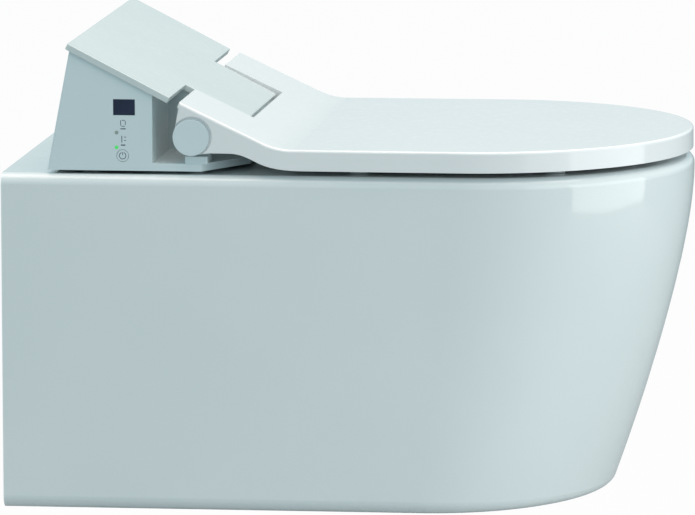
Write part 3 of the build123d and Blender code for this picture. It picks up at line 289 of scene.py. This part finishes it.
def circuit_board():
    """Green solder mask with tracks and bright pads."""
    material, tree, shader = new_material("circuit_board")
    place = add(tree, "ShaderNodeMapping", (-1150, 200), Vector=object_coordinates(tree),
                Rotation=(0, math.radians(90), 0)).outputs["Vector"]
    tracks = add(tree, "ShaderNodeTexBrick", (-900, 200), Vector=place, Scale=180.0,
                 Color1=(0.015, 0.16, 0.07, 1), Color2=(0.02, 0.22, 0.10, 1),
                 Mortar=(0.05, 0.34, 0.15, 1), Mortar_Size=0.035)
    pads = add(tree, "ShaderNodeTexVoronoi", (-900, -200), Vector=place, Scale=260.0,
               Randomness=0.25)
    spot = add(tree, "ShaderNodeMapRange", (-600, -200), Value=pads.outputs["Distance"],
               From_Min=0.16, From_Max=0.2, To_Min=1.0, To_Max=0.0).outputs["Result"]
    face = cover(tree, (-250, 200), spot, tracks.outputs["Color"], (0.75, 0.73, 0.66))
    set_inputs(tree, shader, Base_Color=face, Metallic=spot, Roughness=0.32,
               Normal=bump(tree, spot, BOARD_PADS))
    return material


def dark_window():
    """Near-black filter plastic with a faint blue depth."""
    material, tree, shader = new_material("dark_window")
    skin = use_group(tree, MOULDED, Flow_Scale=70.0)
    tones = two_tones(tree, skin["Tone"], (0.010, 0.016, 0.045), (0.016, 0.026, 0.068))
    set_inputs(tree, shader, Base_Color=tones, Roughness=between(tree, skin["Rub"], 0.16, 0.24),
               Coat_Weight=0.3)
    return material


def light_pipe(name, dark, light, glow, strength):
    """Clear tinted plastic, lit from behind."""
    material, tree, shader = new_material(name)
    skin = use_group(tree, MOULDED, Flow_Scale=900.0)
    set_inputs(tree, shader, Base_Color=two_tones(tree, skin["Tone"], dark, light),
               Roughness=0.25, Emission_Color=(*glow, 1), Emission_Strength=strength)
    return material


def soft_rubber(name, dark, light):
    """Matte moulded rubber."""
    material, tree, shader = new_material(name)
    skin = use_group(tree, MOULDED, Grain_Scale=1600.0)
    set_inputs(tree, shader, Base_Color=two_tones(tree, skin["Tone"], dark, light),
               Roughness=between(tree, skin["Rub"], 0.62, 0.8),
               Normal=bump(tree, skin["Height"], RUBBER_GRAIN), Specular_IOR_Level=0.35)
    return material


# The finish of each material slot: name, darker tone, lighter tone, then what that kind adds; some
# tones carry painted shade
MATERIALS = {
    "ceramic": glazed_ceramic(),
    # The housing plastic is white; its darker blue-grey tones are painted cool shade.
    "white_plastic": gloss_plastic("housing_white_painted_cool_shade", (0.72, 0.825, 0.845), (0.745, 0.845, 0.865)),
    # The roof is the housing's white plastic; its darker tones are painted shade on its lit top
    # face.
    "roof_white": gloss_plastic("roof_white", (0.67, 0.735, 0.73), (0.695, 0.755, 0.75),
                                (0.16, 0.24)),
    "lid_white": gloss_plastic("lid_white", (0.925, 0.935, 0.937), (0.94, 0.948, 0.95),
                               (0.12, 0.2), coat=0.3),
    "seat_white": gloss_plastic("seat_white", (0.88, 0.90, 0.905), (0.90, 0.915, 0.92),
                                (0.14, 0.22), coat=0.3),
    "wand_white": gloss_plastic("wand_white", (0.84, 0.86, 0.87), (0.88, 0.89, 0.90),
                                (0.16, 0.24)),
    "sleeve_plastic": gloss_plastic("sleeve_plastic", (0.70, 0.71, 0.71), (0.78, 0.79, 0.79),
                                    (0.4, 0.5)),
    "grey_plastic": gloss_plastic("grey_plastic", (0.13, 0.145, 0.155), (0.17, 0.185, 0.195),
                                  (0.42, 0.55), SATIN_GRAIN),
    "damper_grey": gloss_plastic("damper_grey", (0.07, 0.078, 0.086), (0.095, 0.103, 0.11),
                                 (0.38, 0.5), SATIN_GRAIN),
    "symbol_grey": gloss_plastic("symbol_grey", (0.05, 0.06, 0.11), (0.07, 0.08, 0.14),
                                 (0.4, 0.5)),
    "dark_window": dark_window(),
    "led_clear": light_pipe("light_grey", (0.30, 0.36, 0.34), (0.42, 0.48, 0.45),
                            (0.5, 0.55, 0.5), 0.0),
    "led_green": light_pipe("light_green", (0.05, 0.42, 0.10), (0.08, 0.55, 0.14),
                            (0.10, 0.75, 0.16), 0.5),
    "board_green": circuit_board(),
    "hinge_steel": brushed_metal("hinge_steel", (0.52, 0.53, 0.54), (0.68, 0.69, 0.70),
                                 (40.0, 900.0, 900.0)),
    "screw_steel": brushed_metal("screw_steel", (0.46, 0.47, 0.48), (0.64, 0.65, 0.66),
                                 (900.0, 900.0, 60.0)),
    "inlet_metal": brushed_metal("inlet_metal", (0.62, 0.55, 0.40), (0.76, 0.70, 0.55),
                                 (900.0, 40.0, 900.0)),
    "soft_pad": soft_rubber("soft_pad", (0.62, 0.65, 0.66), (0.68, 0.71, 0.72)),
    "seal_rubber": soft_rubber("seal_rubber", (0.012, 0.012, 0.013), (0.022, 0.022, 0.024)),
}


def dress_cad_nodes():
    """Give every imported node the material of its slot."""
    slots = {row["node"]: row["material_slot"] for row in frame["record"]["subparts"]}
    for name, piece in frame["nodes"].items():
        piece.data.materials.clear()
        piece.data.materials.append(MATERIALS[slots[name]])


def new_piece(name, shape, material):
    """A scene object from a bmesh, which is freed."""
    mesh = bpy.data.meshes.new(name)
    shape.to_mesh(mesh)
    shape.free()
    mesh.materials.append(material)
    piece = bpy.data.objects.new(name, mesh)
    bpy.context.scene.collection.objects.link(piece)
    return piece


def make_panel_marks():
    """Two small printed signs on the side panel, built from short strokes."""
    shape = bmesh.new()
    for stroke in MARK_STROKES:
        y, z, length, height = (value / MM_PER_METRE for value in stroke)
        centre = Matrix.Translation((PANEL_X, y, z))
        size = Matrix.Diagonal((2 * MARK_THICK, length, height, 1))
        bmesh.ops.create_cube(shape, size=1.0, matrix=centre @ size)
    marks = new_piece("panel_marks", shape, MATERIALS["symbol_grey"])
    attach(marks, "unit")


def stage_material(name):
    """Pale ground that the camera sees as nearly white, with the object's shadow on it."""
    material, tree, shader = new_material(name)
    set_inputs(tree, shader, Base_Color=(*FLOOR_TONE, 1), Roughness=FLOOR_ROUGHNESS)
    glow = add(tree, "ShaderNodeEmission", (0, -300), Color=WHITE, Strength=1.0)
    share = calculate(tree, "MULTIPLY", (-200, 300), camera_ray(tree), FLOOR_WHITE_SHARE)
    blend_shaders(tree, share, shader, glow, "Material Output")
    return material


def make_floor():
    """A wide plain floor."""
    shape = bmesh.new()
    bmesh.ops.create_grid(shape, x_segments=1, y_segments=1, size=FLOOR_REACH)
    bmesh.ops.translate(shape, verts=shape.verts, vec=(0, 0, FLOOR_Z))
    floor = new_piece("floor", shape, stage_material("floor_white"))


def make_lamp(name, place, target, size, power, colour):
    """A soft rectangular lamp that points at a place."""
    light = bpy.data.lights.new(name, "AREA")
    light.shape = "RECTANGLE"
    light.size, light.size_y = size
    light.energy = power
    light.color = colour
    holder = bpy.data.objects.new(name, light)
    holder.location = place
    aim = Vector(target) - Vector(place)
    holder.rotation_euler = aim.to_track_quat("-Z", "Y").to_euler()
    bpy.context.scene.collection.objects.link(holder)


def make_sky():
    """A pale sky that the camera sees as white."""
    world = bpy.data.worlds.new("studio")
    world.use_nodes = True
    bpy.context.scene.world = world
    tree = world.node_tree
    sky = tree.nodes["Background"]
    set_inputs(tree, sky, Color=(*SKY_COLOUR, 1), Strength=SKY_LEVEL)
    white = add(tree, "ShaderNodeBackground", (0, -200), Color=WHITE, Strength=1.0)
    blend_shaders(tree, camera_ray(tree), sky, white, "World Output")


def make_camera():
    """The camera of the photograph."""
    cos_pitch, sin_pitch = math.cos(CAMERA_PITCH), math.sin(CAMERA_PITCH)
    cos_yaw, sin_yaw = math.cos(CAMERA_YAW), math.sin(CAMERA_YAW)
    ahead = Vector((cos_pitch * cos_yaw, cos_pitch * sin_yaw, -sin_pitch))
    level = Vector((sin_yaw, -cos_yaw, 0))
    upright = level.cross(ahead)
    right = level * math.cos(CAMERA_ROLL) - upright * math.sin(CAMERA_ROLL)
    up = level * math.sin(CAMERA_ROLL) + upright * math.cos(CAMERA_ROLL)
    turn = Matrix((right, up, -ahead)).transposed().to_4x4()
    data = bpy.data.cameras.new("photo_camera")
    data.sensor_width = CAMERA_SENSOR
    data.sensor_fit = "HORIZONTAL"
    data.lens = CAMERA_LENS
    data.clip_end = CAMERA_REACH
    camera = bpy.data.objects.new("photo_camera", data)
    camera.matrix_world = Matrix.Translation(CAMERA_PLACE) @ turn
    bpy.context.scene.collection.objects.link(camera)
    bpy.context.scene.camera = camera


dress_cad_nodes()
make_panel_marks()
make_floor()
make_sky()
for lamp in LAMPS:
    make_lamp(*lamp)
make_camera()
bpy.context.scene.view_settings.view_transform = "Standard"
